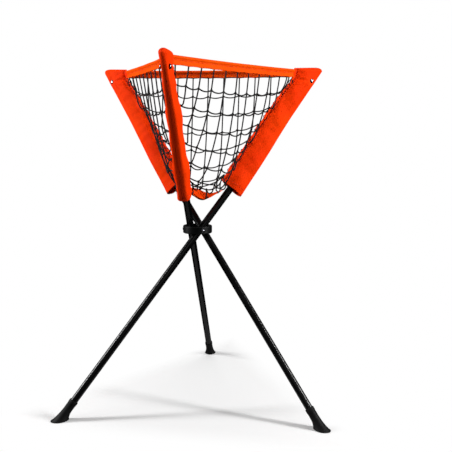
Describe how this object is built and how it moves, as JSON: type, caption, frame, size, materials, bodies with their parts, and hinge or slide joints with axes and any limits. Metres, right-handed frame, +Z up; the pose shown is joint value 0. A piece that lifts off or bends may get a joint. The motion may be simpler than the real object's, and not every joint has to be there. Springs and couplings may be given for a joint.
{
  "type": "ball caddy",
  "caption": "Folding tripod ball caddy: crossed tube legs pinned in a ring carry cloth sleeves, rim bands and net panels that make an open basket.",
  "frame": {"origin": "on the ring's axis at ground level, midway between the three feet", "axes": "+Z up along the ring's axis; -Y towards the upper arm of leg a"},
  "size_m": [0.7124, 0.7676, 0.914],
  "materials": {
    "ring_plastic": "moulded black nylon with a low sheen",
    "bolt_steel": "zinc plated steel",
    "washer_nylon": "natural nylon",
    "tube_paint": "glossy black powder coat on steel tube",
    "foot_rubber": "matt black moulded rubber",
    "plug_plastic": "black moulded plastic",
    "rivet_metal": "bright domed rivet",
    "sleeve_cloth": "orange coated polyester pack cloth, sewn",
    "band_cloth": "orange folded hem, sewn",
    "floor_cloth": "orange coated polyester with laced edges",
    "net_cord": "black knotted twine"
  },
  "bodies": {
    "hub": {"hub_ring": "ring_plastic", "pivot_bolt_a": "bolt_steel", "pivot_bolt_b": "bolt_steel", "pivot_bolt_c": "bolt_steel", "pivot_washers": "washer_nylon", "pivot_nuts": "bolt_steel", "rim_band_ab": "band_cloth", "rim_band_bc": "band_cloth", "rim_band_ca": "band_cloth", "net_ab": "net_cord", "net_bc": "net_cord", "net_ca": "net_cord", "basket_floor": "floor_cloth"},
    "leg_a": {"leg_tube_a": "tube_paint", "foot_a": "foot_rubber", "tube_plug_a": "plug_plastic", "sleeve_a": "sleeve_cloth", "sleeve_rivet_a": "rivet_metal"},
    "leg_b": {"leg_tube_b": "tube_paint", "foot_b": "foot_rubber", "tube_plug_b": "plug_plastic", "sleeve_b": "sleeve_cloth", "sleeve_rivet_b": "rivet_metal"},
    "leg_c": {"leg_tube_c": "tube_paint", "foot_c": "foot_rubber", "tube_plug_c": "plug_plastic", "sleeve_c": "sleeve_cloth", "sleeve_rivet_c": "rivet_metal"}
  },
  "joints": [
    {"name": "leg_a_fold", "type": "hinge", "parent": "hub", "child": "leg_a", "pos_m": [-0.0184, 0, 0.4766], "axis": [-1, 0, 0], "range_deg": [0, 30], "deforming": ["sleeve_a", "rim_band_ab", "net_ab", "basket_floor"]},
    {"name": "leg_b_fold", "type": "hinge", "parent": "hub", "child": "leg_b", "pos_m": [0.0092, 0.01593, 0.4766], "axis": [0.5, 0.866, 0], "range_deg": [0, 30], "deforming": ["sleeve_b", "rim_band_bc", "net_bc"]},
    {"name": "leg_c_fold", "type": "hinge", "parent": "hub", "child": "leg_c", "pos_m": [0.0092, -0.01593, 0.4766], "axis": [0.5, -0.866, 0], "range_deg": [0, 30], "deforming": ["sleeve_c", "rim_band_ca", "net_ca"]}
  ],
  "couplings": [
    {"joint": "leg_b_fold", "follows": "leg_a_fold", "ratio": 1},
    {"joint": "leg_c_fold", "follows": "leg_a_fold", "ratio": 1}
  ]
}
